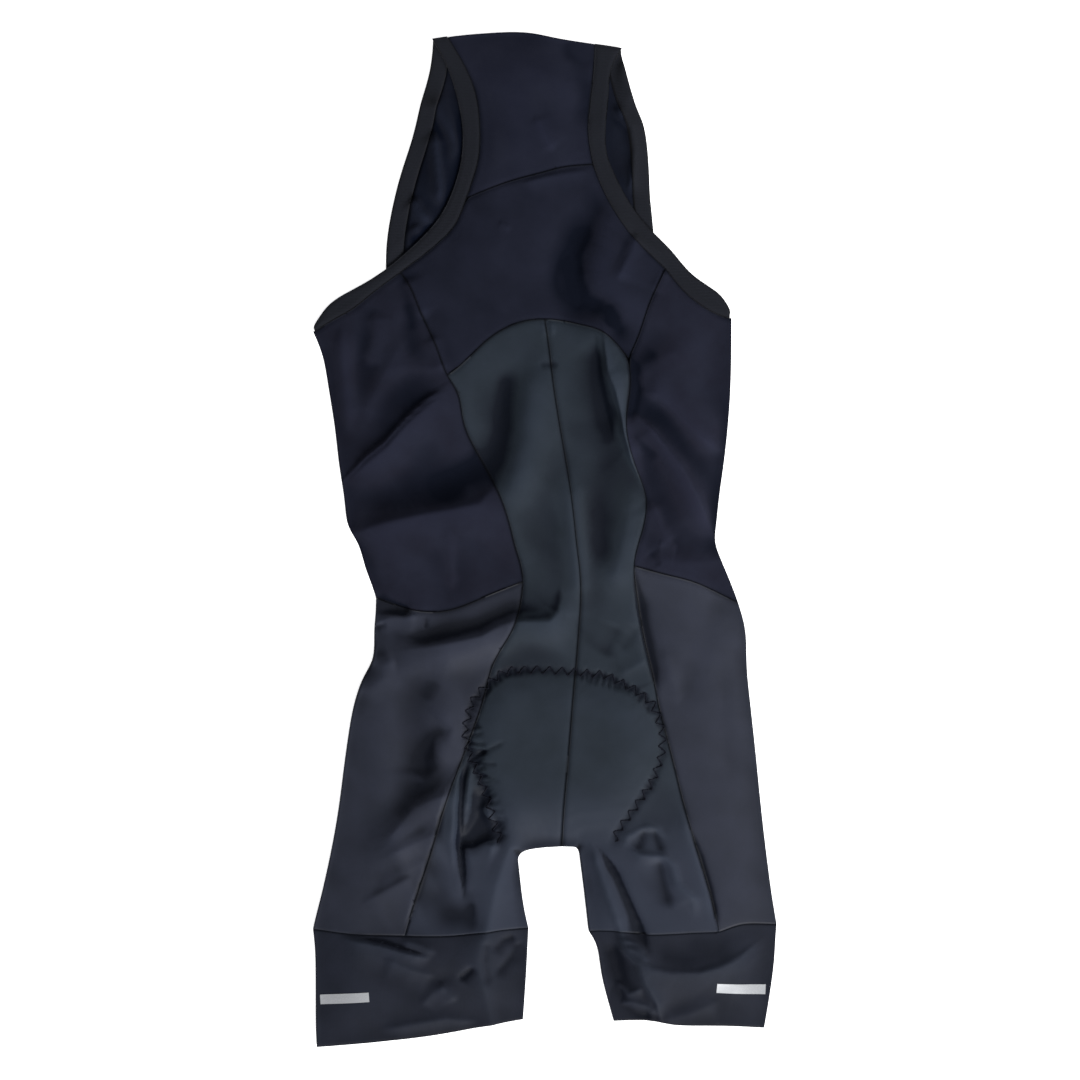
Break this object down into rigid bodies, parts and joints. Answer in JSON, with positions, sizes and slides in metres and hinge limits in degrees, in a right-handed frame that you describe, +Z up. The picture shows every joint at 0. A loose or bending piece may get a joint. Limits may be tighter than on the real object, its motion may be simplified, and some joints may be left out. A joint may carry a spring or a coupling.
{
  "type": "cycling bib shorts",
  "caption": "Padded cycling bib shorts laid flat on their front, back side up, with a wide back strap, bound armholes and gripper cuffs.",
  "frame": {"origin": "centre of the bounding box on the underside, the surface that the laid-out garment rests on", "axes": "+Z up off the surface, out of the garment's back; +Y along the body towards the neck; +X to the wearer's right when the back is seen with the neck at the top"},
  "size_m": [0.4325, 0.9464, 0.0147],
  "materials": {
    "strap_knit": "matte navy warp knit",
    "yoke_knit": "matte navy warp knit",
    "side_knit": "matte dark navy knit",
    "centre_knit": "smooth slate stretch knit with a slight sheen",
    "leg_knit": "satin slate stretch knit",
    "cuff_elastic": "dense matte slate elastic knit",
    "binding_elastic": "ribbed dark grey elastic binding",
    "inside_knit": "inside of the strap knit, matte and dark",
    "pad_foam": "soft foam pad faced with brushed knit"
  },
  "bodies": {
    "root": {"strap_panel": "strap_knit", "yoke": "yoke_knit", "side_left": "side_knit", "side_right": "side_knit", "centre_left": "centre_knit", "centre_right": "centre_knit", "leg_left": "leg_knit", "leg_right": "leg_knit", "cuff_left": "cuff_elastic", "cuff_right": "cuff_elastic", "binding_back_left": "binding_elastic", "binding_back_right": "binding_elastic", "binding_front_left": "binding_elastic", "binding_front_right": "binding_elastic", "front_strap_left": "inside_knit", "front_strap_right": "inside_knit", "front_left": "side_knit", "front_right": "side_knit", "seat_pad": "pad_foam"}
  },
  "joints": []
}
